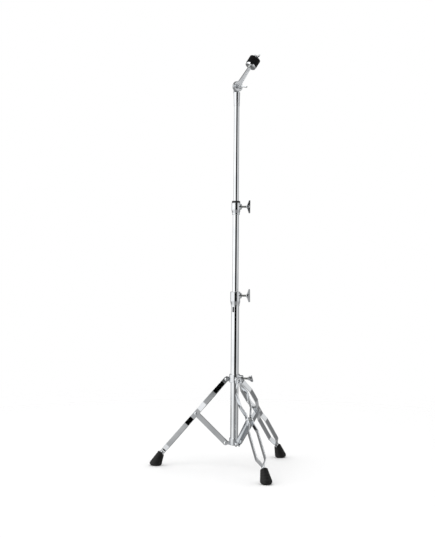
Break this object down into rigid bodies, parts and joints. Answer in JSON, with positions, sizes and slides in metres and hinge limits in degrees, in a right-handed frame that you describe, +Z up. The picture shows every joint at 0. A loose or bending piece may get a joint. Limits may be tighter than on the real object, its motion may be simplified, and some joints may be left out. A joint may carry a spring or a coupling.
{
  "type": "cymbal stand",
  "caption": "Straight chrome cymbal stand with telescoping tubes, folding double-braced tripod, rubber feet, tilter and felt cymbal seat.",
  "frame": {"origin": "on the floor, under the centre line of the tubes, in the middle of the three feet", "axes": "+Z up along the tubes; leg 1 points along -X, the clamp bolts along +X"},
  "size_m": [0.4761, 0.5436, 1.5004],
  "materials": {
    "chromed_steel": "polished chrome plate on steel tube and strip",
    "chromed_casting": "chrome plate on cast fittings, slightly softer gloss",
    "zinc_steel": "zinc plated steel",
    "black_rubber": "moulded matt rubber",
    "black_nylon": "moulded nylon",
    "black_felt": "pressed wool felt",
    "black_label": "plain sticker"
  },
  "bodies": {
    "base": {"base_tube": "chromed_steel", "base_tube_plug": "black_nylon", "blank_label": "black_label", "brace_collar": "chromed_casting", "brace_collar_rivets": "chromed_steel", "lower_clamp_collar": "chromed_casting", "lower_clamp_bush": "black_nylon", "lower_clamp_nut": "zinc_steel"},
    "lower_bolt": {"lower_clamp_bolt": "chromed_casting"},
    "middle_guide": {"middle_tube_plug": "black_nylon"},
    "middle_section": {"middle_tube": "chromed_steel", "upper_clamp_collar": "chromed_casting", "upper_clamp_bush": "black_nylon", "upper_clamp_nut": "zinc_steel"},
    "upper_bolt": {"upper_clamp_bolt": "chromed_casting"},
    "top_guide": {"top_tube_plug": "black_nylon"},
    "top_section": {"top_tube": "chromed_steel", "tilter_base": "chromed_casting", "tilter_rivets": "chromed_steel", "tilter_bolt": "chromed_steel", "tilter_friction_disc": "black_nylon"},
    "tilter_nut": {"tilter_wing_nut": "chromed_casting"},
    "tilter_head": {"tilter_arm": "chromed_casting", "cymbal_rod": "zinc_steel", "rod_lock_nut": "zinc_steel", "cup_washer": "chromed_steel", "cymbal_sleeve": "black_nylon", "lower_felt": "black_felt"},
    "lifting_felt": {"upper_felt": "black_felt"},
    "cymbal_nut": {"cymbal_wing_nut": "chromed_casting"},
    "sliding_collar": {"leg_collar": "chromed_casting", "leg_collar_liner": "black_nylon", "leg_collar_nut": "zinc_steel", "leg_collar_rivets": "chromed_steel"},
    "leg_bolt": {"leg_collar_bolt": "chromed_casting"},
    "brace_arm_1": {"brace_1": "chromed_steel"},
    "leg_1": {"leg_1_left_strip": "chromed_steel", "leg_1_right_strip": "chromed_steel", "leg_1_knee_rivet": "chromed_steel", "leg_1_knee_spacer": "zinc_steel", "leg_1_foot_rivet": "chromed_steel", "rubber_foot_1": "black_rubber"},
    "brace_arm_2": {"brace_2": "chromed_steel"},
    "leg_2": {"leg_2_left_strip": "chromed_steel", "leg_2_right_strip": "chromed_steel", "leg_2_knee_rivet": "chromed_steel", "leg_2_knee_spacer": "zinc_steel", "leg_2_foot_rivet": "chromed_steel", "rubber_foot_2": "black_rubber"},
    "brace_arm_3": {"brace_3": "chromed_steel"},
    "leg_3": {"leg_3_left_strip": "chromed_steel", "leg_3_right_strip": "chromed_steel", "leg_3_knee_rivet": "chromed_steel", "leg_3_knee_spacer": "zinc_steel", "leg_3_foot_rivet": "chromed_steel", "rubber_foot_3": "black_rubber"}
  },
  "joints": [
    {"name": "brace_1_fold", "type": "hinge", "parent": "base", "child": "brace_arm_1", "pos_m": [-0.031, 0, 0.0915], "axis": [0, 1, 0], "range_deg": [-6, 41.5]},
    {"name": "leg_1_knee", "type": "hinge", "parent": "brace_arm_1", "child": "leg_1", "pos_m": [-0.14, 0, 0.1945], "axis": [0, 1, 0], "range_deg": [-77.15, 11.2]},
    {"name": "brace_2_fold", "type": "hinge", "parent": "base", "child": "brace_arm_2", "pos_m": [0.0155, -0.02685, 0.0915], "axis": [-0.866, -0.5, 0], "range_deg": [-6, 41.5]},
    {"name": "leg_2_knee", "type": "hinge", "parent": "brace_arm_2", "child": "leg_2", "pos_m": [0.07, -0.12124, 0.1945], "axis": [-0.866, -0.5, 0], "range_deg": [-77.15, 11.2]},
    {"name": "brace_3_fold", "type": "hinge", "parent": "base", "child": "brace_arm_3", "pos_m": [0.0155, 0.02685, 0.0915], "axis": [0.866, -0.5, 0], "range_deg": [-6, 41.5]},
    {"name": "leg_3_knee", "type": "hinge", "parent": "brace_arm_3", "child": "leg_3", "pos_m": [0.07, 0.12124, 0.1945], "axis": [0.866, -0.5, 0], "range_deg": [-77.15, 11.2]},
    {"name": "collar_slide_hinge", "type": "hinge", "parent": "leg_1", "child": "sliding_collar", "pos_m": [-0.03, 0, 0.322], "axis": [0, 1, 0], "range_deg": [-5.2, 35.65]},
    {"name": "leg_bolt_turn", "type": "hinge", "parent": "sliding_collar", "child": "leg_bolt", "pos_m": [0.03925, 0, 0.325], "axis": [1, 0, 0], "continuous": true},
    {"name": "lower_bolt_turn", "type": "hinge", "parent": "base", "child": "lower_bolt", "pos_m": [0.04, 0, 0.623], "axis": [1, 0, 0], "continuous": true},
    {"name": "middle_tube_slide", "type": "slide", "parent": "base", "child": "middle_guide", "axis": [0, 0, 1], "range_m": [-0.27, 0.08]},
    {"name": "middle_tube_turn", "type": "hinge", "parent": "middle_guide", "child": "middle_section", "pos_m": [0, 0, 0.935], "axis": [0, 0, 1], "continuous": true},
    {"name": "upper_bolt_turn", "type": "hinge", "parent": "middle_section", "child": "upper_bolt", "pos_m": [0.04, 0, 0.943], "axis": [1, 0, 0], "continuous": true},
    {"name": "top_tube_slide", "type": "slide", "parent": "middle_section", "child": "top_guide", "axis": [0, 0, 1], "range_m": [-0.33, 0.05]},
    {"name": "top_tube_turn", "type": "hinge", "parent": "top_guide", "child": "top_section", "pos_m": [0, 0, 1.339], "axis": [0, 0, 1], "continuous": true},
    {"name": "tilter_tilt", "type": "hinge", "parent": "top_section", "child": "tilter_head", "pos_m": [0, 0, 1.376], "axis": [0.5736, -0.8192, 0], "range_deg": [-56.5, 123.5]},
    {"name": "tilter_nut_turn", "type": "hinge", "parent": "top_section", "child": "tilter_nut", "pos_m": [0, 0, 1.376], "axis": [0.5736, -0.8192, 0], "continuous": true},
    {"name": "upper_felt_lift", "type": "slide", "parent": "tilter_head", "child": "lifting_felt", "axis": [0.4521, 0.3166, 0.8339], "range_m": [0, 0.06]},
    {"name": "cymbal_nut_turn", "type": "hinge", "parent": "lifting_felt", "child": "cymbal_nut", "pos_m": [0.06136, 0.03582, 1.48299], "axis": [0.4521, 0.3166, 0.8339], "continuous": true}
  ],
  "couplings": [
    {"joint": "leg_1_knee", "follows": "brace_1_fold", "ratio": -1.8579},
    {"joint": "brace_2_fold", "follows": "brace_1_fold", "ratio": 1},
    {"joint": "leg_2_knee", "follows": "brace_1_fold", "ratio": -1.8579},
    {"joint": "brace_3_fold", "follows": "brace_1_fold", "ratio": 1},
    {"joint": "leg_3_knee", "follows": "brace_1_fold", "ratio": -1.8579},
    {"joint": "collar_slide_hinge", "follows": "brace_1_fold", "ratio": 0.8579}
  ]
}
